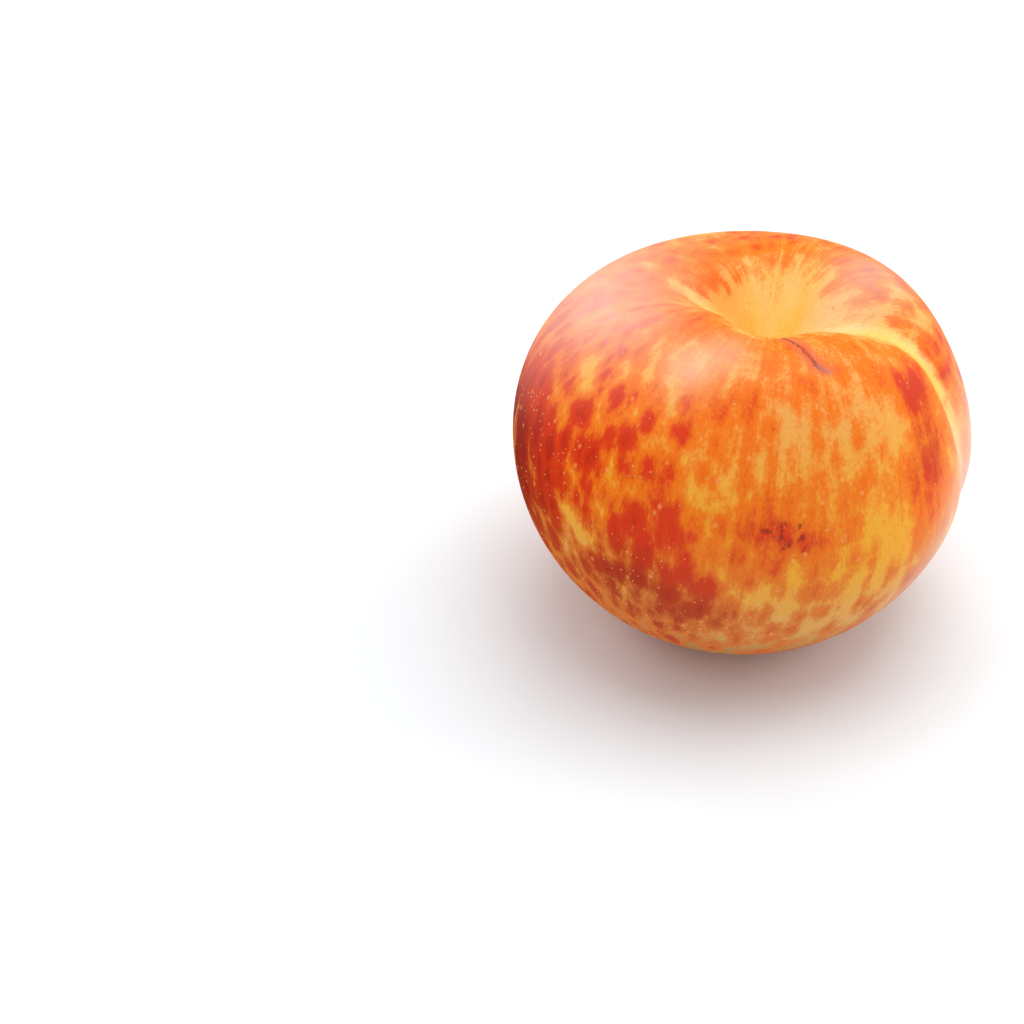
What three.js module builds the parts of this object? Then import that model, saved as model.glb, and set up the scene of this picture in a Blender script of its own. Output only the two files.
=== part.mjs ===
// A ripe pluot, the plum and apricot cross: one whole stone fruit, picked without its stalk.
//
// It grew as one piece, so it is one closed solid. The shape is a rounded body, a little wider
// than it is deep and deeper than it is tall, with the marks that a stone fruit has:
//   - a funnel-shaped basin at the stem end, drawn out into two corners by the seam,
//   - the seam itself, a shallow valley that runs from the basin down one side,
//   - a small hollow at the blossom end, so that the fruit stands on a ring round it,
//   - a stem end that leans to one side, with one cheek fuller than the other.
//
// Units are millimetres, +Z is up, and the fruit stands on Z = 0 under the middle of its box.
import * as THREE from "three";

const DEGREE = Math.PI / 180;

// --- Driving dimensions ---
const BODY = {
  halfWidth: 36.06, // at the equator, along X
  halfDepth: 34.8, // at the equator, along Y
  above: 31.5, // from the equator to the top, before the basin is let in
  below: 35.4, // from the equator to the bottom, before the base is rounded off
  roundnessAbove: 1.92, // 2 is an ellipse, and more is squarer
  roundnessBelow: 1.99,
};
const LEAN = { angle: 8.1 * DEGREE, towards: -9 * DEGREE }; // of the stem end
const BASIN = {
  depth: 16.5, // below the top that the body would have without it
  spread: 14.8 * DEGREE, // polar angle over which it fades
  power: 2, // 2 is a round-bottomed bell, and less is a sharper funnel
  cornerWidth: 22 * DEGREE, // of each drawn-out corner, in longitude
  seamCorner: 0.7, // how much further it reaches along the seam
  backCorner: 0.85, // and on the far side from the seam
};
const SEAM = {
  longitude: -14.4 * DEGREE,
  backLongitude: 158 * DEGREE, // where the seam's line leaves the basin again
  depth: 1.7,
  halfWidth: 3.2, // of the valley, across the seam
  deepestAt: 55 * DEGREE, // polar angle
  fade: 45 * DEGREE,
};
const CHEEK = {
  height: 3.2, // the full cheek stands this proud, and the other is as much lower
  longitude: -22.5 * DEGREE,
  at: 35 * DEGREE, // polar angle of its crown
  fade: 22 * DEGREE,
};
const BLOSSOM_HOLLOW = { depth: 2.6, spread: 15 * DEGREE };
const REST = {
  flattened: 0.4, // the soft skin is pressed flat over this much of its height
  easing: 0.25, // half the height over which the flat runs out into the round
};
const CELLS = 24; // the skin is six square patches of this many cells a side

// The difference between two longitudes, from -180 to 180 degrees.
function turn(from, to) {
  return Math.atan2(Math.sin(to - from), Math.cos(to - from));
}

// A smooth hump: 1 at zero, fading to nothing over a few widths.
function hump(distance, width, power = 2) {
  return Math.exp(-Math.pow(Math.abs(distance) / width, power));
}

// Distance from the centre to the body before any mark is let into it.
function bodyRadius(polar, longitude) {
  const equator =
    1 / Math.hypot(Math.cos(longitude) / BODY.halfWidth, Math.sin(longitude) / BODY.halfDepth);
  const up = Math.cos(polar) > 0;
  const half = up ? BODY.above : BODY.below;
  const power = up ? BODY.roundnessAbove : BODY.roundnessBelow;
  const across = Math.pow(Math.sin(polar) / equator, power);
  const along = Math.pow(Math.abs(Math.cos(polar)) / half, power);
  return Math.pow(across + along, -1 / power);
}

function basinDepth(polar, longitude) {
  const alongSeam = BASIN.seamCorner * hump(turn(SEAM.longitude, longitude), BASIN.cornerWidth);
  const alongBack = BASIN.backCorner * hump(turn(SEAM.backLongitude, longitude), BASIN.cornerWidth);
  const spread = BASIN.spread * (1 + alongSeam + alongBack);
  return BASIN.depth * hump(polar, spread, BASIN.power);
}

function seamDepth(polar, longitude, radius) {
  const away = turn(SEAM.longitude, longitude);
  if (Math.abs(away) > Math.PI / 2) return 0;
  const across = radius * Math.sin(polar) * away;
  return SEAM.depth * hump(across, SEAM.halfWidth) * hump(polar - SEAM.deepestAt, SEAM.fade);
}

// Turns a direction of the fruit's own axis into one of the leaning fruit.
const leanAxis = new THREE.Vector3(-Math.sin(LEAN.towards), Math.cos(LEAN.towards), 0);
const lean = new THREE.Quaternion().setFromAxisAngle(leanAxis, LEAN.angle);

// Moves a point on the unit sphere out to the skin of the leaning fruit.
function toSkin(point) {
  const polar = Math.acos(THREE.MathUtils.clamp(point.z, -1, 1));
  const longitude = Math.atan2(point.y, point.x);
  const body = bodyRadius(polar, longitude);
  const cheek =
    CHEEK.height * Math.cos(longitude - CHEEK.longitude) * hump(polar - CHEEK.at, CHEEK.fade);
  const leaning = point.applyQuaternion(lean);
  const fromBase = Math.acos(THREE.MathUtils.clamp(-leaning.z, -1, 1));
  const radius =
    body +
    cheek -
    basinDepth(polar, longitude) -
    seamDepth(polar, longitude, body + cheek) -
    BLOSSOM_HOLLOW.depth * hump(fromBase, BLOSSOM_HOLLOW.spread);
  return leaning.multiplyScalar(radius);
}

// Height above the table after the skin has been pressed flat: 0 below it, easing into the round.
function pressedHeight(height) {
  if (height <= -REST.easing) return 0;
  if (height >= REST.easing) return height;
  return Math.pow(height + REST.easing, 2) / (4 * REST.easing);
}

function fruitGeometry() {
  const geometry = new THREE.BoxGeometry(2, 2, 2, CELLS, CELLS, CELLS);
  geometry.deleteAttribute("normal");
  geometry.deleteAttribute("uv");
  const positions = geometry.attributes.position;
  const point = new THREE.Vector3();
  for (let i = 0; i < positions.count; i++) {
    point.fromBufferAttribute(positions, i);
    // The tangent spaces the cells evenly once they are on the sphere.
    point.set(
      Math.tan((point.x * Math.PI) / 4),
      Math.tan((point.y * Math.PI) / 4),
      Math.tan((point.z * Math.PI) / 4),
    );
    point.copy(toSkin(point.normalize()));
    positions.setXYZ(i, point.x, point.y, point.z);
  }
  geometry.computeBoundingBox();
  const table = geometry.boundingBox.min.z + REST.flattened;
  for (let i = 0; i < positions.count; i++) {
    positions.setZ(i, pressedHeight(positions.getZ(i) - table));
  }
  geometry.computeBoundingBox();
  const middle = geometry.boundingBox.getCenter(new THREE.Vector3());
  geometry.translate(-middle.x, -middle.y, 0);
  geometry.computeVertexNormals();
  return geometry;
}

const skinFinish = new THREE.MeshStandardMaterial({
  color: 0xd9652c,
  roughness: 0.42,
  metalness: 0,
});

const pluot = new THREE.Mesh(fruitGeometry(), skinFinish);
pluot.name = "pluot";

const group = new THREE.Group();
group.add(pluot);

export default group;
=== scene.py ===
"""A whole ripe pluot on a pale table: one stone fruit, with its waxy mottled skin.

The skin is one closed surface worked out by the same rule as the CAD solid. Everything else here is on
that skin: lenticels, the corky healed scratch, the scar that the stalk left and the dried style point.
Lengths are millimetres until a mesh is made, and metres after that.
"""

import math

import bpy
import numpy as np
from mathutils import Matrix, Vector


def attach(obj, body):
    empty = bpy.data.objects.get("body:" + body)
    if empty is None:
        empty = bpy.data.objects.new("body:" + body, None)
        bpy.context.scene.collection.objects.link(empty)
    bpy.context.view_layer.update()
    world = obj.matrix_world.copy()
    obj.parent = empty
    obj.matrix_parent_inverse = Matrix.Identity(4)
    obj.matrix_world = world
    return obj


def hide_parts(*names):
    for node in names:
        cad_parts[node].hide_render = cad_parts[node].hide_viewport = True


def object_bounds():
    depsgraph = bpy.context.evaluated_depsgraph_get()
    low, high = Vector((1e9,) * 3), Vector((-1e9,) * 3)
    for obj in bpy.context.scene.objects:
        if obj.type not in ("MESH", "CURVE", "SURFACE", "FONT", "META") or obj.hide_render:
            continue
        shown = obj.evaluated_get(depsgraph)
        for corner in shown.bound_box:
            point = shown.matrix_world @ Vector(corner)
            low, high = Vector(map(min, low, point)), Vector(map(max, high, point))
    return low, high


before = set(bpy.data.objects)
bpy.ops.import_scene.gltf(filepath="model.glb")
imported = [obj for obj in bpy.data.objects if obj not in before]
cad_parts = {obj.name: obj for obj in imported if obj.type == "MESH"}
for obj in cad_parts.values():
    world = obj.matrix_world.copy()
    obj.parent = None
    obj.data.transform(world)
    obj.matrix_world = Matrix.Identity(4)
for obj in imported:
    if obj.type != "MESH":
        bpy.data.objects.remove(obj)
cad_low, cad_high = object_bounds()

MM = 0.001  # metres in a millimetre

# --- The fruit's shape: the same driving dimensions as the CAD solid ---

HALF_WIDTH, HALF_DEPTH = 36.06, 34.8
ABOVE, BELOW = 31.5, 35.4
ROUNDNESS_ABOVE, ROUNDNESS_BELOW = 1.92, 1.99
LEAN_ANGLE, LEAN_TOWARDS = math.radians(8.1), math.radians(-9)
BASIN_DEPTH, BASIN_SPREAD, BASIN_POWER = 16.5, math.radians(14.8), 2
BASIN_CORNER_WIDTH = math.radians(22)
BASIN_SEAM_CORNER, BASIN_BACK_CORNER = 0.7, 0.85
SEAM_LONGITUDE, BACK_LONGITUDE = math.radians(-14.4), math.radians(158)
SEAM_DEPTH, SEAM_HALF_WIDTH = 1.7, 3.2
SEAM_DEEPEST, SEAM_FADE = math.radians(55), math.radians(45)
CHEEK_HEIGHT, CHEEK_LONGITUDE = 3.2, math.radians(-22.5)
CHEEK_AT, CHEEK_FADE = math.radians(35), math.radians(22)
HOLLOW_DEPTH, HOLLOW_SPREAD = 2.6, math.radians(15)
FLATTENED, EASING = 0.4, 0.25
SKIN_CELLS = 128  # cells along each side of the six patches


def turn(start, end):
    """The signed difference between two longitudes, from -180 to 180 degrees, in radians."""
    return np.arctan2(np.sin(end - start), np.cos(end - start))


def hump(distance, width, power=2):
    """1 at zero, fading smoothly to nothing over a few widths."""
    return np.exp(-((np.abs(distance) / width) ** power))


def body_radius(polar, longitude):
    equator = 1 / np.hypot(np.cos(longitude) / HALF_WIDTH, np.sin(longitude) / HALF_DEPTH)
    up = np.cos(polar) > 0
    half = np.where(up, ABOVE, BELOW)
    power = np.where(up, ROUNDNESS_ABOVE, ROUNDNESS_BELOW)
    across = (np.sin(polar) / equator) ** power
    along = (np.abs(np.cos(polar)) / half) ** power
    return (across + along) ** (-1 / power)


def basin_depth(polar, longitude):
    along_seam = BASIN_SEAM_CORNER * hump(turn(SEAM_LONGITUDE, longitude), BASIN_CORNER_WIDTH)
    along_back = BASIN_BACK_CORNER * hump(turn(BACK_LONGITUDE, longitude), BASIN_CORNER_WIDTH)
    return BASIN_DEPTH * hump(polar, BASIN_SPREAD * (1 + along_seam + along_back), BASIN_POWER)


def seam_depth(polar, longitude, radius):
    away = turn(SEAM_LONGITUDE, longitude)
    across = radius * np.sin(polar) * away
    depth = SEAM_DEPTH * hump(across, SEAM_HALF_WIDTH) * hump(polar - SEAM_DEEPEST, SEAM_FADE)
    return np.where(np.abs(away) > math.pi / 2, 0, depth)


def lean(points):
    """Turns points of the fruit's own axis to those of the leaning fruit."""
    axis = np.array([-math.sin(LEAN_TOWARDS), math.cos(LEAN_TOWARDS), 0])
    along = (points @ axis)[:, None] * axis
    return (
        points * math.cos(LEAN_ANGLE)
        + np.cross(axis, points) * math.sin(LEAN_ANGLE)
        + along * (1 - math.cos(LEAN_ANGLE))
    )


def to_skin(polar, longitude):
    """Points on the skin before it is pressed flat underneath, about the fruit's own centre."""
    polar, longitude = np.atleast_1d(polar), np.atleast_1d(longitude)
    directions = np.stack(
        [np.sin(polar) * np.cos(longitude), np.sin(polar) * np.sin(longitude), np.cos(polar)], axis=1
    )
    body = body_radius(polar, longitude)
    cheek = CHEEK_HEIGHT * np.cos(longitude - CHEEK_LONGITUDE) * hump(polar - CHEEK_AT, CHEEK_FADE)
    leaning = lean(directions)
    from_base = np.arccos(np.clip(-leaning[:, 2], -1, 1))
    radius = (
        body
        + cheek
        - basin_depth(polar, longitude)
        - seam_depth(polar, longitude, body + cheek)
        - HOLLOW_DEPTH * hump(from_base, HOLLOW_SPREAD)
    )
    return leaning * radius[:, None]


def pressed(height):
    """Height above the table once the soft skin is pressed flat against it."""
    eased = (height + EASING) ** 2 / (4 * EASING)
    return np.where(height < -EASING, 0, np.where(height > EASING, height, eased))


def ball_of_squares(cells):
    """Unit directions and faces of a cube's six patches, spread evenly over a ball."""
    steps = np.tan(np.linspace(-math.pi / 4, math.pi / 4, cells + 1))
    across, along = np.meshgrid(steps, steps, indexing="ij")
    side = np.ones_like(across)
    patches = [
        (side, across, along),
        (-side, along, across),
        (along, side, across),
        (across, -side, along),
        (across, along, side),
        (along, across, -side),
    ]
    points = np.concatenate([np.stack(p, axis=-1).reshape(-1, 3) for p in patches])
    points, shared = np.unique(np.round(points, 7), axis=0, return_inverse=True)
    shared = shared.reshape(6, cells + 1, cells + 1)
    corners = [shared[:, :-1, :-1], shared[:, 1:, :-1], shared[:, 1:, 1:], shared[:, :-1, 1:]]
    faces = np.stack(corners, axis=-1).reshape(-1, 4)
    return points / np.linalg.norm(points, axis=1)[:, None], faces


directions, skin_faces = ball_of_squares(SKIN_CELLS)
POLAR = np.arccos(np.clip(directions[:, 2], -1, 1))
LONGITUDE = np.arctan2(directions[:, 1], directions[:, 0])
skin_points = to_skin(POLAR, LONGITUDE)
TABLE = skin_points[:, 2].min() + FLATTENED
MIDDLE = (skin_points.min(0) + skin_points.max(0)) / 2


def in_frame(points):
    """Points about the fruit's centre, set on the table where the CAD solid stands."""
    placed = np.array(points, float)
    box_middle = (np.array(cad_low) + np.array(cad_high)) / 2 / MM
    placed[:, 0] += box_middle[0] - MIDDLE[0]
    placed[:, 1] += box_middle[1] - MIDDLE[1]
    placed[:, 2] = pressed(placed[:, 2] - TABLE) + cad_low.z / MM
    return placed * MM


# --- Small tools ---


def linear(hex_colour):
    """A linear RGBA colour from an sRGB hex value."""
    channels = [int(hex_colour[i : i + 2], 16) / 255 for i in (1, 3, 5)]
    return [c / 12.92 if c <= 0.04045 else ((c + 0.055) / 1.055) ** 2.4 for c in channels] + [1]


def add(tree, kind, inputs=None, **settings):
    """Adds a node. An input is given a value, or is linked if it is given another node's output."""
    made = tree.nodes.new(kind)
    for name, value in settings.items():
        setattr(made, name, value)
    for key, value in (inputs or {}).items():
        if isinstance(value, bpy.types.NodeSocket):
            tree.links.new(value, made.inputs[key])
        else:
            made.inputs[key].default_value = value
    return made


def add_run(tree, start, rows, kind, into, given, out=0, **settings):
    """Adds a run of nodes and gives the last one's output.

    Each takes the output before it at the input called into, and a row of values at those called given.
    """
    value = start
    for row in rows:
        value = add(tree, kind, {into: value, **dict(zip(given, row))}, **settings).outputs[out]
    return value


def add_each(tree, rows, kind, given, out=0, **settings):
    """Adds nodes side by side, one for each named row of values, and gives their outputs by name."""
    outputs = {}
    for name, row in rows.items():
        outputs[name] = add(tree, kind, dict(zip(given, row)), **settings).outputs[out]
    return outputs


# Settings for runs: parts times amounts added to a base, factors, and layers laid over a colour.
SUM = {"kind": "ShaderNodeMath", "operation": "MULTIPLY_ADD", "into": 2, "given": (0, 1)}
PRODUCT = {"kind": "ShaderNodeMath", "operation": "MULTIPLY", "into": 0, "given": (1,)}
LAYERS = {"kind": "ShaderNodeMix", "data_type": "RGBA", "into": 6, "given": (0, 7), "out": 2}
# And for smooth steps: a value, the low and high between which it climbs, and the result at each.
STEPS = {
    "kind": "ShaderNodeMapRange",
    "interpolation_type": "SMOOTHSTEP",
    "given": ("Value", "From Min", "From Max", "To Min", "To Max"),
}


def mesh_object(name, points, faces, smooth=True):
    mesh = bpy.data.meshes.new(name)
    mesh.from_pydata(np.asarray(points).tolist(), [], [list(map(int, face)) for face in faces])
    mesh.polygons.foreach_set("use_smooth", [smooth] * len(mesh.polygons))
    mesh.update()
    made = bpy.data.objects.new(name, mesh)
    bpy.context.scene.collection.objects.link(made)
    return made


def store(made, name, values):
    """Keeps a number or a vector for each vertex, for the material to read."""
    values = np.asarray(values, np.float32)
    kind, field = ("FLOAT", "value") if values.ndim == 1 else ("FLOAT_VECTOR", "vector")
    attribute = made.data.attributes.new(name, kind, "POINT")
    attribute.data.foreach_set(field, values.ravel())


# --- Camera, light and table ---

CAMERA_ELEVATION = math.radians(42)
CAMERA_DISTANCE = 0.627
CAMERA_LENS = 140
CAMERA_AIM_HEIGHT = 0.030
CAMERA_AIM_ASIDE, CAMERA_AIM_BELOW = 0.0361, 0.0105  # the aim is left of and below the fruit


def make_camera():
    back = Vector((0, -math.cos(CAMERA_ELEVATION), math.sin(CAMERA_ELEVATION)))
    up = Vector((0, math.sin(CAMERA_ELEVATION), math.cos(CAMERA_ELEVATION)))
    aim = Vector((-CAMERA_AIM_ASIDE, 0, CAMERA_AIM_HEIGHT)) - up * CAMERA_AIM_BELOW
    camera = bpy.data.objects.new("camera", bpy.data.cameras.new("camera"))
    camera.data.lens = CAMERA_LENS
    camera.location = aim + back * CAMERA_DISTANCE
    camera.rotation_euler = (-back).to_track_quat("-Z", "Y").to_euler()
    bpy.context.scene.collection.objects.link(camera)
    bpy.context.scene.camera = camera


def make_softbox(name, place, size, brightness):
    """A square softbox turned to the fruit. Brightness is that of its face; white paper is 1."""
    lamp = bpy.data.objects.new(name, bpy.data.lights.new(name, "AREA"))
    lamp.data.size = size
    lamp.data.energy = brightness * math.pi * size**2
    lamp.location = place
    aim = Vector((0, 0, 0.03)) - Vector(place)
    lamp.rotation_euler = aim.to_track_quat("-Z", "Y").to_euler()
    lamp.visible_camera = False
    bpy.context.scene.collection.objects.link(lamp)


def make_studio():
    """A white tent, lit almost evenly, with softboxes above, behind and to either side."""
    world = bpy.data.worlds.new("white tent")
    world.use_nodes = True
    tree = world.node_tree
    sky = tree.nodes["Background"]
    heading = add(tree, "ShaderNodeTexCoord").outputs["Generated"]
    to_back = Vector((-0.2, 0.75, 0.63)).normalized()
    towards_back = add(
        tree, "ShaderNodeVectorMath", {0: heading, 1: to_back}, operation="DOT_PRODUCT"
    ).outputs["Value"]
    share = add(
        tree,
        "ShaderNodeMapRange",
        {"Value": towards_back, "From Min": -0.6, "From Max": 0.9, "To Min": 0.55, "To Max": 0.5},
    ).outputs["Result"]
    tree.links.new(share, sky.inputs["Strength"])
    sky.inputs["Color"].default_value = (1, 0.99, 0.98, 1)
    bpy.context.scene.world = world
    make_softbox("overhead softbox", (0.1, 0.15, 1.0), 0.9, 2.6)
    make_softbox("left softbox", (-0.6, -0.1, 0.75), 0.5, 1.2)
    make_softbox("rear left softbox", (-0.55, 0.8, 0.45), 0.5, 2.4)
    make_softbox("right softbox", (0.8, 0.25, 0.35), 0.6, 2.6)

    side = 3.0
    corners = [(-side, -side, 0), (side, -side, 0), (side, side, 0), (-side, side, 0)]
    table = mesh_object("table", corners, [(0, 1, 2, 3)], smooth=False)
    paper = bpy.data.materials.new("matt white paper")
    paper.use_nodes = True
    surface = paper.node_tree.nodes["Principled BSDF"]
    surface.inputs["Base Color"].default_value = linear("#F0F6FA")
    surface.inputs["Roughness"].default_value = 0.9
    surface.inputs["Specular IOR Level"].default_value = 0.1
    table.data.materials.append(paper)
    bpy.context.scene.view_settings.view_transform = "Standard"


# --- What grows where on the skin ---

# Soft round areas with more red: polar angle, longitude, radius in mm, strength.
RED_MARKS = [
    (67, -141, 4.2, 0.4),
    (57, -147, 2.4, 0.2),
    (65, -153, 2.2, 0.25),
    (79, -159, 3.5, 0.3),
    # Partly painted shade: this redder, darker patch at the far left edge also stands for shade.
    (88, -167, 9.0, 0.5),
    (60, -132, 2.2, 0.2),
    (64, -123, 2.6, 0.25),
    (79, -122, 4.2, 0.3),
    (88, -114, 7.0, 0.35),
    # Partly painted shade: this patch low on the left is also darkened to stand for shade.
    (98, -111, 6.0, 0.38),
    (72, -130, 12.0, 0.2),
    (80, -172, 5.0, 0.3),
    (48, -101, 4.5, 0.22),
    (46, -34, 4.5, 0.6),
    (62, -37, 4.5, 0.36),
    (72, -42, 4.0, 0.2),
    (44, -10, 4.0, 0.2),
    (50, -10, 2.6, 0.3),
    (57, -5, 3.0, 0.25),
    (50, 176, 15.0, 0.14),
    (60, 0, 7.0, 0.2),
    (29, 22, 7.0, 0.35),
    (31, 95, 9.0, 0.25),
    (101, -97, 4.5, 0.3),
    (73, -90, 3.0, 0.3),
    (75, -84, 3.2, 0.3),
    (76, -77, 3.4, 0.34),
    (76, -40, 5.0, 0.2),
    (35, -81, 1.5, 0.25),
]
# And those with less, where the golden ground shows.
GOLD_MARKS = [
    (71, -159, 1.9, 0.3),
    (89, -134, 4.0, 0.2),
    (62, -155, 1.8, 0.2),
    (73, -130, 2.4, 0.4),
    (67, -132, 1.8, 0.2),
    (49, -130, 3.5, 0.15),
    (69, -108, 2.6, 0.25),
    (38, -134, 5.0, 0.2),
    (59, -101, 6.0, 0.18),
    (66, -70, 6.0, 0.12),
    (47, -84, 2.8, 0.25),
    (55, -82, 2.4, 0.22),
    (44, -50, 4.0, 0.25),
    (54, -47, 4.5, 0.4),
    (86, -58, 8.0, 0.15),
    (93, -62, 3.0, 0.15),
    (102, -70, 9.0, 0.25),
    (77, -51, 5.0, 0.25),
    (36, 3, 4.0, 0.3),
    (50, -70, 5.0, 0.12),
    (48, -88, 3.0, 0.14),
    (96, -87, 5.0, 0.25),
]
# Where the white wax film lies, and painted sheen: the pale patches on the upper left shoulder and near
# the lip stand for a softbox's reflection.
BLOOM_AND_SHEEN_MARKS = [
    (56, 170, 13.0, 0.36),
    (44, -168, 9.0, 0.2),
    (62, 145, 14.0, 0.3),
    (38, -133, 4.5, 0.2),
    (29, -122, 4.0, 0.12),
    (29, 22, 7.0, 0.35),
]


def nearness(place, radius):
    """1 at a place on the skin (polar angle and longitude in degrees), fading over a radius in mm."""
    p, q = math.radians(place[0]), math.radians(place[1])
    there = np.array([math.sin(p) * math.cos(q), math.sin(p) * math.sin(q), math.cos(p)])
    return hump(np.arccos(np.clip(directions @ there, -1, 1)) * HALF_WIDTH, radius)


def between(low, high, soft):
    """1 between two polar angles in degrees and 0 outside them, with soft ends."""
    value = np.degrees(POLAR)
    return 1 / (1 + np.exp(-(value - low) / soft)) / (1 + np.exp((value - high) / soft))


def facing(longitude, width):
    """1 along one longitude, fading over a width in degrees."""
    return hump(turn(math.radians(longitude), LONGITUDE), math.radians(width))


def red_share():
    """How much of the skin is red, from 0 to 1, before it breaks up into blotches."""
    share = 0.46 + 0.28 * facing(-156, 50) * np.sin(POLAR)
    share += 0.14 * facing(-172, 22) * between(70, 125, 6)
    share += 0.1 * facing(90, 70) * between(40, 112, 8)
    share += 0.07 * hump(POLAR - math.radians(112), math.radians(25))
    for polar, longitude, radius, strength in RED_MARKS:
        share += strength * nearness((polar, longitude), radius)
    for polar, longitude, radius, strength in GOLD_MARKS:
        share -= strength * nearness((polar, longitude), radius)
    return share


def mottle_share():
    """How strongly the red gathers into separate blotches."""
    cheek = facing(-150, 38) * between(42, 108, 6)
    behind = 0.55 * facing(90, 70) * between(45, 108, 8)
    low = 0.45 * between(90, 140, 5)
    beyond_seam = 0.5 * facing(2, 14) * between(28, 78, 4)
    hazy = 0.22 * nearness((50, 175), 16)
    return np.clip(0.34 + 1.0 * cheek + behind + low + beyond_seam - hazy, 0, 1.5)


def deep_share():
    """Where the red turns a dark brown red: the fruit's own ripe red on the far rim and by the seam, and
    painted shade along the far left edge and low on the left.
    """
    # Painted shade: the far left edge is darkened as if shaded.
    side = 1.1 * facing(-176, 19) * between(82, 120, 3.5)
    # Painted shade: low on the left is darkened as if shaded.
    low = 0.4 * nearness((100, -122), 7.0) + 0.25 * nearness((108, -104), 7.0)
    far = 0.35 * nearness((29, 22), 8.0)
    by_seam = 0.2 * nearness((46, -33), 4.0) + 0.25 * nearness((62, -36), 5.0)
    return np.clip(side + low + far + by_seam, 0, 1)


def gold_share():
    """Where the skin stays clear yellow: in the basin and along the seam."""
    along_seam = hump(turn(SEAM_LONGITUDE, LONGITUDE), BASIN_CORNER_WIDTH)
    along_back = hump(turn(BACK_LONGITUDE, LONGITUDE), BASIN_CORNER_WIDTH)
    reach = math.radians(19) * (1 + 0.45 * along_seam + 0.3 * along_back - 0.25 * facing(-95, 45))
    basin = hump(POLAR, reach, 3)
    across = HALF_WIDTH * np.sin(POLAR) * turn(SEAM_LONGITUDE, LONGITUDE)
    near_side = np.abs(turn(SEAM_LONGITUDE, LONGITUDE)) < math.pi / 2
    seam = hump(across - 0.2, 2.0) * near_side * hump(POLAR - math.radians(45), math.radians(38), 4)
    # The yellow also follows the crease that runs on from the basin, bending as it goes.
    crease_line = math.radians(153) - 0.45 * (POLAR - math.radians(30))
    crease_across = HALF_WIDTH * np.sin(POLAR) * turn(crease_line, LONGITUDE)
    crease = hump(crease_across, 1.3) * between(18, 44, 3)
    return np.clip(1 - (1 - basin) * (1 - 0.7 * seam) * (1 - 0.55 * crease), 0, 1)


def pale_share():
    """Where the skin turns cream: on the basin's lip and along the floor of the seam; on the upper front
    left by the lip it is a painted highlight.
    """
    share = 0.7 * nearness((19, 0), 3.5) + 0.5 * nearness((26, -9), 3.0)
    # Painted highlight: the two pale patches on the upper front left stand for a softbox's reflection.
    share += 0.4 * nearness((39, -132), 5.0) + 0.25 * nearness((31, -118), 4.0)
    across = HALF_WIDTH * np.sin(POLAR) * turn(SEAM_LONGITUDE, LONGITUDE)
    near_side = np.abs(turn(SEAM_LONGITUDE, LONGITUDE)) < math.pi / 2
    line = hump(across - 0.9, 0.7) * near_side * between(22, 60, 4)
    return np.clip(share + 0.3 * line, 0, 1)


def bloom_and_painted_sheen_share():
    """How thick the pale veil lies on the skin: a wax film, with painted sheen where it stands for
    reflected light.
    """
    share = 0.02 - 0.02 * facing(-168, 45) * between(60, 150, 6)
    for polar, longitude, radius, strength in BLOOM_AND_SHEEN_MARKS:
        share += strength * nearness((polar, longitude), radius)
    # The side that hung in the leaves kept most of its bloom.
    edge = np.radians(-28) - 0.77 * (POLAR - math.radians(78))
    # Painted reflection: a pale band along the right edge stands for the white surroundings reflected at a
    # grazing angle.
    past_edge = 1 / (1 + np.exp(-turn(edge, LONGITUDE) / math.radians(4)))
    share += 0.62 * past_edge * facing(-12, 38) * between(70, 116, 7)
    return np.clip(share, 0, 1)


def wax_share():
    """How much wax shines on the skin: it is rubbed off where the fruit was handled."""
    share = 0.17 - 0.14 * facing(-160, 50) * between(58, 140, 8)
    share += 0.35 * nearness((50, 178), 15) + 0.2 * nearness((38, -133), 7)
    share += 0.5 * facing(-8, 18) * between(66, 125, 6)
    return np.clip(share, 0, 1)


def grain_space():
    """Millimetres round the fruit and along its meridians, so that patterns run from end to end."""
    return np.stack(
        [HALF_WIDTH * np.cos(LONGITUDE), HALF_WIDTH * np.sin(LONGITUDE), HALF_WIDTH * POLAR], axis=1
    )


def blotch_space():
    """The same, but drawn in towards the two ends, so that blotches there don't turn into rays.

    On the shaded cheek the blotches also lean a little away from the meridians.
    """
    radius = HALF_WIDTH * np.sin(POLAR) ** 0.8
    leaning = LONGITUDE - 0.35 * facing(-150, 40) * (POLAR - math.radians(80))
    return np.stack([radius * np.cos(leaning), radius * np.sin(leaning), HALF_WIDTH * POLAR], axis=1)


def mark_space(start, end):
    """Millimetres along, across and off a straight mark on the skin between two places."""
    first, last = [to_skin(math.radians(p), math.radians(q))[0] for p, q in (start, end)]
    along = (last - first) / np.linalg.norm(last - first)
    out = first / np.linalg.norm(first)
    across = np.cross(out, along)
    across /= np.linalg.norm(across)
    offset = skin_points - first
    flat = np.outer(offset @ along, along) + np.outer(offset @ across, across)
    return np.stack([offset @ along, offset @ across, np.linalg.norm(offset - flat, axis=1)], axis=1)


# --- Materials ---


def new_material(name):
    """A material with its tree and its one surface shader."""
    material = bpy.data.materials.new(name)
    material.use_nodes = True
    return material, material.node_tree, material.node_tree.nodes["Principled BSDF"]


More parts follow.
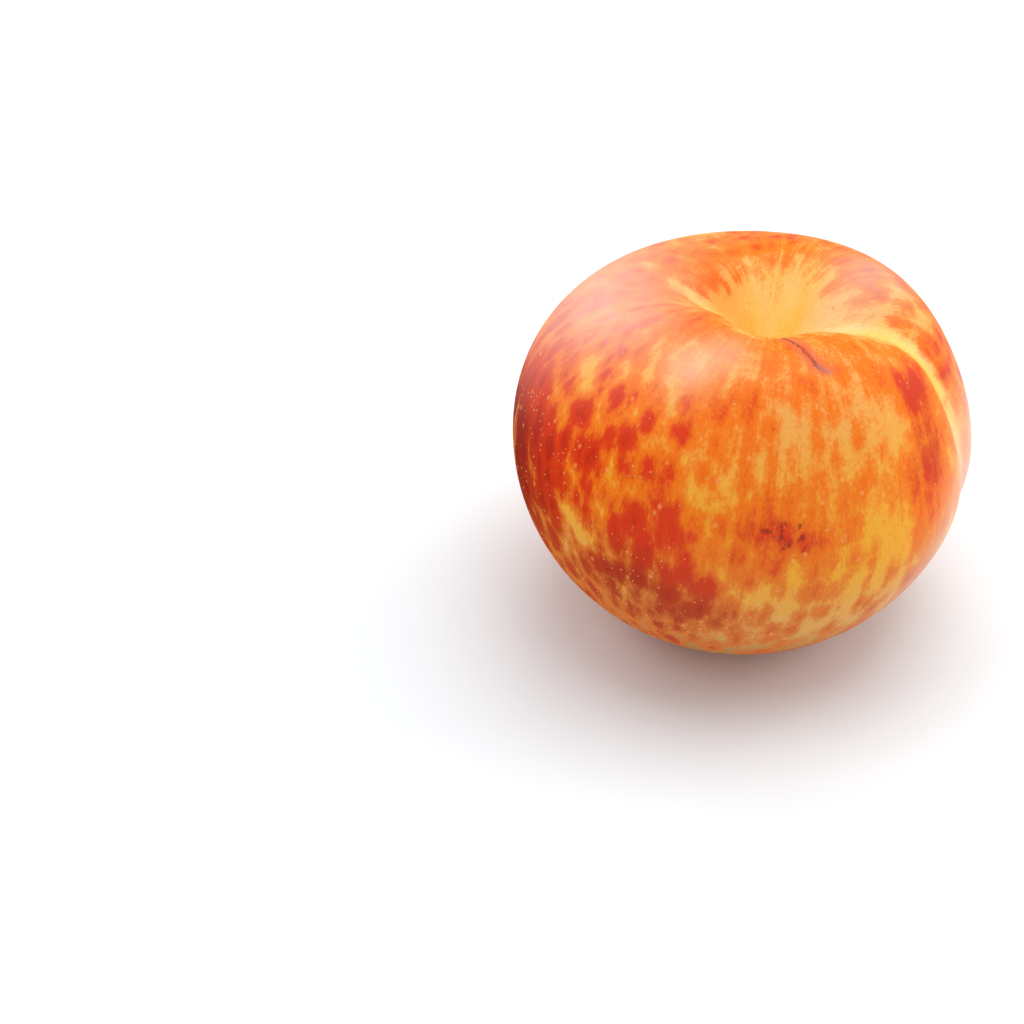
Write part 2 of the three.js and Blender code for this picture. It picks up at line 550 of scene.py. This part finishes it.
def skin_patterns(tree, space):
    """The skin's patterns by name, drawn out along the meridians: noise from about -1 to 1."""
    squeezed = {}
    for name, source, along in (
        ("clouds", "blotch_space", 0.62),
        ("puffs", "blotch_space", 0.55),
        ("fibres", "blotch_space", 0.4),
        ("bands", "grain", 0.12),
        ("streaks", "grain", 0.09),
        ("specks", "grain", 0.8),
        ("beads", "grain", 1.0),
    ):
        inputs = {"Vector": space[source], "Scale": (1, 1, along)}
        squeezed[name] = add(tree, "ShaderNodeMapping", inputs).outputs["Vector"]

    pattern = {}
    for name, size_mm, detail, roughness in (
        ("clouds", 7.0, 3, 0.55),
        ("puffs", 2.2, 5, 0.65),
        ("fibres", 0.45, 4, 0.75),
        ("bands", 2.6, 2, 0.5),
        ("streaks", 1.5, 4, 0.6),
        ("specks", 1.1, 2, 0.5),
        ("beads", 0.5, 2, 0.5),
    ):
        inputs = {"Vector": squeezed[name], "Scale": 1 / size_mm, "Detail": detail, "Roughness": roughness}
        noise = add(tree, "ShaderNodeTexNoise", inputs).outputs["Fac"]
        pattern[name] = add_run(tree, -1.0, [(noise, 2.0)], **SUM)

    # Rounded cells 3.5 mm wide, and longer along the meridians, whose edges wander.
    inputs = {"Vector": squeezed["clouds"], "Scale": 1 / 2.2, "Detail": 3}
    wander = add(tree, "ShaderNodeTexNoise", inputs).outputs["Color"]
    inputs = {0: wander, 1: (2.0, 2.0, 2.0), 2: squeezed["clouds"]}
    wandering = add(tree, "ShaderNodeVectorMath", inputs, operation="MULTIPLY_ADD").outputs["Vector"]
    inputs = {"Vector": wandering, "Scale": 1 / 3.5, "Smoothness": 0.25}
    pattern["cells"] = add(tree, "ShaderNodeTexVoronoi", inputs, feature="SMOOTH_F1").outputs["Distance"]

    # Pores 3.2 mm apart.
    inputs = {"Vector": squeezed["specks"], "Scale": 1 / 3.2}
    pattern["pores"] = add(tree, "ShaderNodeTexVoronoi", inputs, feature="F1").outputs["Distance"]
    return pattern


def scratch_layers(tree, scratch_space, beads):
    """The healed scratch, beads of brown cork on a pink halo: its two layers, and where the cork is."""
    along, across, off = add(tree, "ShaderNodeSeparateXYZ", {0: scratch_space}).outputs
    rows = {
        "bend": (along, 8.2, 11.4, 0.0, -1.6),
        "start": (along, -1.4, 0.6, 0.0, 1.0),
        "end": (along, 9.8, 11.0, 1.0, 0.0),
        "near": (off, 2.0, 4.0, 1.0, 0.0),
        "beaded": (beads, -0.3, 0.25, 0.35, 1.0),
        "tip": (along, 7.6, 10.0, 0.0, 1.0),
    }
    step = add_each(tree, rows, **STEPS)
    from_line = add_run(tree, across, [(step["bend"], 1.0), (beads, 0.5)], **SUM)
    aside = add(tree, "ShaderNodeMath", {0: from_line}, operation="ABSOLUTE").outputs[0]
    rows = {"halo": (aside, 0.2, 2.1, 0.7, 0.0), "cork": (aside, 0.1, 0.46, 1.0, 0.0)}
    width = add_each(tree, rows, **STEPS)
    on_mark = add_run(tree, step["start"], [(step["end"],), (step["near"],)], **PRODUCT)
    halo = add_run(tree, width["halo"], [(on_mark,)], **PRODUCT)
    cork = add_run(tree, width["cork"], [(on_mark,), (step["beaded"],)], **PRODUCT)
    cork_cover = add_run(tree, cork, [(0.85,)], **PRODUCT)
    cork_colour = add_run(tree, linear("#86301E"), [(step["tip"], linear("#B8807A"))], **LAYERS)
    return [(halo, linear("#DC6448")), (cork_cover, cork_colour)], cork


def skin_material():
    """Plum skin, a thin waxy cuticle over wet flesh: satin, glowing a little, red over gold."""
    material, tree, surface = new_material("waxy pluot skin")
    share, space = {}, {}
    for name in ("red", "gold", "mottle", "deep", "pale", "polar", "russet", "bloom_and_painted_sheen", "wax"):
        share[name] = add(tree, "ShaderNodeAttribute", attribute_name=name + "_share").outputs["Fac"]
    for name in ("grain", "blotch_space", "scratch_space"):
        space[name] = add(tree, "ShaderNodeAttribute", attribute_name=name).outputs["Vector"]
    pattern = skin_patterns(tree, space)
    clouds, puffs, fibres = pattern["clouds"], pattern["puffs"], pattern["fibres"]

    # In the basin the meridians crowd together, so streaks that would be too fine are faded out.
    crowding = add_each(tree, {"eased": (share["polar"], 0.02, 0.2, 0.35, 1.0)}, **STEPS)
    streaks = add_run(tree, pattern["streaks"], [(crowding["eased"],)], **PRODUCT)

    # Blotches 2 to 4 mm wide with a golden web between them, then every finer unevenness of the red.
    broken = add_run(tree, 0.5775, [(pattern["cells"], -1.265), (puffs, 0.28)], **SUM)
    unevenness = [(broken, share["mottle"]), (clouds, 0.24), (pattern["bands"], 0.34), (puffs, 0.28)]
    unevenness += [(streaks, 0.2), (fibres, 0.3), (share["gold"], -0.76)]
    redness = add_run(tree, share["red"], unevenness, **SUM)
    specks = add_run(tree, pattern["specks"], [(share["russet"], 0.5)], **SUM)

    rows = {
        "side": (share["polar"], 0.2, 0.42, 0.0, 1.0),
        "lower side": (share["polar"], 0.42, 0.6, 0.0, 1.0),
        "low": (share["polar"], 0.46, 0.6, 0.0, 1.0),
        "lowest": (share["polar"], 0.58, 0.72, 0.0, 1.0),
        "cloudy": (clouds, -0.5, 0.5, 0.0, 1.0),
        "orange": (redness, 0.08, 0.52, 0.0, 1.0),
        "red": (redness, 0.5, 1.05, 0.0, 1.0),
        "ripe red": (redness, 1.1, 1.8, 0.0, 0.6),
        "darkened": (redness, 0.2, 0.9, 0.0, 1.0),
        "cream_and_painted_highlight": (streaks, -0.6, 0.4, 0.4, 1.0),
        "pore": (pattern["pores"], 0.06, 0.15, 0.4, 0.0),
        "fibre": (fibres, -0.5, 0.5, 0.0, 0.42),
        "speck": (specks, 0.52, 0.9, 0.0, 0.8),
    }
    step = add_each(tree, rows, **STEPS)
    clear_yellow = add_run(tree, linear("#FCD246"), [(step["cloudy"], linear("#FCE690"))], **LAYERS)
    orange = add_run(tree, linear("#F87E10"), [(step["lower side"], linear("#DE7C32"))], **LAYERS)
    brick = add_run(tree, linear("#E23C10"), [(step["low"], linear("#C4481C"))], **LAYERS)
    # The dark brown red is partly the fruit's own ripe red, on the far rim and by the seam, and partly
    # painted shade, along the far left edge and low on the left.
    ripened_and_painted_shade = add_run(tree, share["deep"], [(step["darkened"],)], **PRODUCT)
    cream_and_painted_highlight = add_run(tree, share["pale"], [(step["cream_and_painted_highlight"],)], **PRODUCT)
    golden_ground = [
        (step["side"], linear("#FAB434")),
        (step["low"], linear("#E8AE5C")),
        (step["lowest"], linear("#B49054")),
        (share["gold"], clear_yellow),
    ]
    reds = [
        (step["orange"], orange),
        (step["red"], brick),
        (step["ripe red"], linear("#A81C08")),
        # Dark brown red: partly ripe red, partly painted shade.
        (ripened_and_painted_shade, linear("#8A1602")),
    ]
    # Cream, which on the upper front left by the lip is a painted highlight.
    creamy_and_pores = [(cream_and_painted_highlight, linear("#FBE3B4")), (step["pore"], linear("#FFBE78"))]
    layers = golden_ground + reds + creamy_and_pores
    colour = add_run(tree, linear("#F4B05A"), layers, **LAYERS)
    inputs = {0: step["fibre"], 6: colour, 7: linear("#F4C09C")}
    colour = add(tree, "ShaderNodeMix", inputs, data_type="RGBA", blend_type="MULTIPLY").outputs[2]

    # Russet is a weathered patch with dark corky specks half a millimetre across. The pale veil is
    # partly a film of wax grains that veils everything under it and partly painted sheen, on the upper
    # left shoulder, by the lip and along the right edge.
    marks, cork = scratch_layers(tree, space["scratch_space"], pattern["beads"])
    patchy = add_run(tree, 0.85, [(fibres, 0.35), (puffs, 0.35)], **SUM)
    bloom_and_painted_sheen = add_run(tree, share["bloom_and_painted_sheen"], [(patchy,)], **PRODUCT)
    # Pale veil: a wax film, and painted sheen where it stands for reflected light.
    layers = [(step["speck"], linear("#8E2414"))] + marks + [(bloom_and_painted_sheen, linear("#F8E0D0"))]
    colour = add_run(tree, colour, layers, **LAYERS)

    tree.links.new(colour, surface.inputs["Base Color"])
    roughness = add_run(tree, 0.4, [(puffs, 0.06), (cork, 0.3)], **SUM)
    tree.links.new(roughness, surface.inputs["Roughness"])
    # All the gloss is the wax's, so the skin under it has none of its own.
    surface.inputs["Specular IOR Level"].default_value = 0.0
    tree.links.new(share["wax"], surface.inputs["Coat Weight"])
    surface.inputs["Coat Roughness"].default_value = 0.32
    surface.inputs["Subsurface Weight"].default_value = 0.1
    surface.inputs["Subsurface Radius"].default_value = (1.0, 0.35, 0.12)
    surface.inputs["Subsurface Scale"].default_value = 2 * MM

    swell = add_run(tree, 0.0, [(puffs, 0.02), (clouds, 0.06), (cork, 0.08)], **SUM)
    relief = add(tree, "ShaderNodeBump", {"Height": swell, "Strength": 1.0, "Distance": MM})
    tree.links.new(relief.outputs["Normal"], surface.inputs["Normal"])
    return material


def lenticel_material():
    """Lenticels, the pores of the skin, are dry corky dots: pale ochre and dull."""
    material, tree, surface = new_material("corky lenticels")
    inputs = {"Vector": add(tree, "ShaderNodeTexCoord").outputs["Object"], "Scale": 1 / (6 * MM)}
    patchy = add(tree, "ShaderNodeTexNoise", inputs).outputs["Fac"]
    inputs = {0: patchy, 6: linear("#CC8C48"), 7: linear("#E8B878")}
    colour = add(tree, "ShaderNodeMix", inputs, data_type="RGBA").outputs[2]
    tree.links.new(colour, surface.inputs["Base Color"])
    surface.inputs["Roughness"].default_value = 0.7
    return material


# --- Pieces ---


def lay_out_patches(made):
    """A UV map with the six patches side by side, three by two, for baking."""
    steps = np.linspace(0.01, 0.99, SKIN_CELLS + 1)
    u, v = np.meshgrid(steps, steps, indexing="ij")
    square = np.stack([u / 3, v / 2], axis=-1)
    corners = [square[:-1, :-1], square[1:, :-1], square[1:, 1:], square[:-1, 1:]]
    patch = np.stack(corners, axis=2).reshape(-1, 2)
    moved = [patch + (column / 3, row / 2) for row in range(2) for column in range(3)]
    layer = made.data.uv_layers.new(name="OFBake")
    layer.data.foreach_set("uv", np.concatenate(moved).astype(np.float32).ravel())


def make_skin():
    skin = mesh_object("pluot_skin", in_frame(skin_points), skin_faces)
    lay_out_patches(skin)
    store(skin, "red_share", red_share())
    store(skin, "gold_share", gold_share())
    store(skin, "mottle_share", mottle_share())
    store(skin, "deep_share", deep_share())
    store(skin, "pale_share", pale_share())
    store(skin, "bloom_and_painted_sheen_share", bloom_and_painted_sheen_share())
    store(skin, "wax_share", wax_share())
    store(skin, "polar_share", POLAR / math.pi)
    store(skin, "grain", grain_space())
    store(skin, "blotch_space", blotch_space())
    russet = nearness((74, -88), 4.0) + nearness((75, -79), 4.0)
    store(skin, "russet_share", np.clip(russet, 0, 1))
    store(skin, "scratch_space", mark_space((18.6, -84.3), (31.2, -71.4)))
    skin.data.materials.append(skin_material())
    return skin


def lenticel_share():
    """Lenticels are thickest on the shaded cheek and round the blossom end."""
    share = 0.12 + 0.75 * facing(-160, 45) * between(66, 115, 5) + 0.35 * between(80, 150, 8)
    clear_of_table = in_frame(skin_points)[:, 2] > 1.5 * MM
    return np.clip(share, 0, 1) * clear_of_table


def make_lenticels():
    """Strews small flat-topped pores over the skin, no two closer than 0.8 mm."""
    host = mesh_object("lenticel_host", in_frame(skin_points), skin_faces)
    store(host, "lenticel_share", lenticel_share())
    tree = bpy.data.node_groups.new("lenticels over skin", "GeometryNodeTree")
    tree.interface.new_socket("Skin", in_out="INPUT", socket_type="NodeSocketGeometry")
    tree.interface.new_socket("Lenticels", in_out="OUTPUT", socket_type="NodeSocketGeometry")
    settings = {"Least spacing": 0.8 * MM, "Density": 300000.0, "Pore radius": 0.17 * MM}
    sockets = {}
    for name in settings:
        sockets[name] = tree.interface.new_socket(name, in_out="INPUT", socket_type="NodeSocketFloat")
    given = add(tree, "NodeGroupInput").outputs
    share = add(tree, "GeometryNodeInputNamedAttribute", {"Name": "lenticel_share"}, data_type="FLOAT")
    inputs = {
        "Mesh": given["Skin"],
        "Distance Min": given["Least spacing"],
        "Density Max": given["Density"],
        "Density Factor": share.outputs["Attribute"],
        "Seed": 5,
    }
    strewn = add(
        tree, "GeometryNodeDistributePointsOnFaces", inputs, distribute_method="POISSON"
    ).outputs
    top = add(tree, "ShaderNodeMath", {0: given["Pore radius"], 1: 0.6}, operation="MULTIPLY")
    inputs = {
        "Vertices": 8,
        "Radius Top": top.outputs[0],
        "Radius Bottom": given["Pore radius"],
        "Depth": 0.06 * MM,
    }
    pore = add(tree, "GeometryNodeMeshCone", inputs).outputs["Mesh"]
    inputs = {"Geometry": pore, "Translation": (0, 0, -0.03 * MM)}
    sunk = add(tree, "GeometryNodeTransform", inputs).outputs["Geometry"]
    sizes = add(tree, "FunctionNodeRandomValue", {2: 0.45, 3: 1.25, 8: 3}, data_type="FLOAT").outputs[1]
    inputs = {
        "Points": strewn["Points"],
        "Instance": sunk,
        "Rotation": strewn["Rotation"],
        "Scale": sizes,
    }
    placed = add(tree, "GeometryNodeInstanceOnPoints", inputs).outputs["Instances"]
    real = add(tree, "GeometryNodeRealizeInstances", {"Geometry": placed}).outputs["Geometry"]
    material = lenticel_material()
    inputs = {"Geometry": real, "Material": material}
    dressed = add(tree, "GeometryNodeSetMaterial", inputs).outputs["Geometry"]
    add(tree, "NodeGroupOutput", {"Lenticels": dressed})

    modifier = host.modifiers.new("lenticels", "NODES")
    modifier.node_group = tree
    for name, value in settings.items():
        modifier[sockets[name].identifier] = value
    settled = host.evaluated_get(bpy.context.evaluated_depsgraph_get())
    plain = bpy.data.meshes.new_from_object(settled)
    plain.name = "lenticels"
    lenticels = bpy.data.objects.new("lenticels", plain)
    bpy.context.scene.collection.objects.link(lenticels)
    bpy.data.objects.remove(host)
    if not plain.materials:
        plain.materials.append(material)
    return lenticels


def dry_material(name, dark, light, grain_mm):
    """Dead brown tissue that has dried and cracked, so it is dull and unevenly brown."""
    material, tree, surface = new_material(name)
    inputs = {"Vector": add(tree, "ShaderNodeTexCoord").outputs["Object"], "Scale": 1 / (grain_mm * MM)}
    inputs["Detail"] = 4
    crazed = add(tree, "ShaderNodeTexNoise", inputs).outputs["Fac"]
    inputs = {0: crazed, 6: linear(dark), 7: linear(light)}
    colour = add(tree, "ShaderNodeMix", inputs, data_type="RGBA").outputs[2]
    tree.links.new(colour, surface.inputs["Base Color"])
    surface.inputs["Roughness"].default_value = 0.85
    relief = add(tree, "ShaderNodeBump", {"Height": crazed, "Strength": 0.8, "Distance": 0.2 * MM})
    tree.links.new(relief.outputs["Normal"], surface.inputs["Normal"])
    return material


def patch_on_skin(name, centre, radii, heights, spokes, material):
    """A round patch that follows the skin about a direction, raised ring by ring. All in mm."""
    centre = np.array(centre, float)
    side = np.cross(centre, [0, 1, 0])
    side /= np.linalg.norm(side)
    other = np.cross(centre, side)
    size = np.linalg.norm(to_skin(*as_angles(centre[None])))
    out = lean(centre[None])[0]
    random = np.random.default_rng(11)
    points, faces = [], []
    for ring, (radius, height) in enumerate(zip(radii, heights)):
        angles = 2 * math.pi * (np.arange(spokes) + 0.5 * (ring % 2)) / spokes
        ragged = radius * (1 + 0.08 * random.standard_normal(spokes)) / size
        sideways = np.outer(np.cos(angles), side) + np.outer(np.sin(angles), other)
        headings = centre + ragged[:, None] * sideways
        headings /= np.linalg.norm(headings, axis=1)[:, None]
        lift = height + 0.03 * random.standard_normal(spokes)
        points.append(to_skin(*as_angles(headings)) + lift[:, None] * out)
        if ring:
            first, last = (ring - 1) * spokes, ring * spokes
            for i in range(spokes):
                j = (i + 1) % spokes
                faces.append((first + i, first + j, last + j, last + i))
    faces.append(tuple(range(spokes)))
    made = mesh_object(name, in_frame(np.concatenate(points)), faces)
    made.data.materials.append(material)
    return made


def as_angles(headings):
    """Polar angles and longitudes of directions in the fruit's own axis."""
    return np.arccos(np.clip(headings[:, 2], -1, 1)), np.arctan2(headings[:, 1], headings[:, 0])


def make_stem_scar():
    """Where the stalk broke off: a sunken brown disc with a raised corky rim."""
    material = dry_material("dry stem scar", "#4A3014", "#8A6A34", 0.5)
    radii = [0.2, 0.45, 0.7, 0.9, 1.1, 1.3]
    heights = [0.1, 0.12, 0.3, 0.4, 0.2, -0.15]
    return patch_on_skin("stem_scar", (0, 0, 1), radii, heights, 28, material)


def make_style_point():
    """The dried stub of the flower's style, in the hollow that the fruit stands on."""
    material = dry_material("dried style stub", "#3A2414", "#6E4C2C", 0.3)
    below = np.array([0, 0, -1]) @ lean(np.eye(3)).T
    radii = [0.12, 0.2, 0.3, 0.55, 0.9]
    heights = [1.1, 1.05, 0.7, 0.2, -0.1]
    return patch_on_skin("style_point", below, radii, heights, 14, material)


make_camera()
make_studio()
skin = make_skin()
lenticels = make_lenticels()
stem_scar = make_stem_scar()
style_point = make_style_point()
for piece in (skin, lenticels, stem_scar, style_point):
    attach(piece, "root")
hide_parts("pluot")
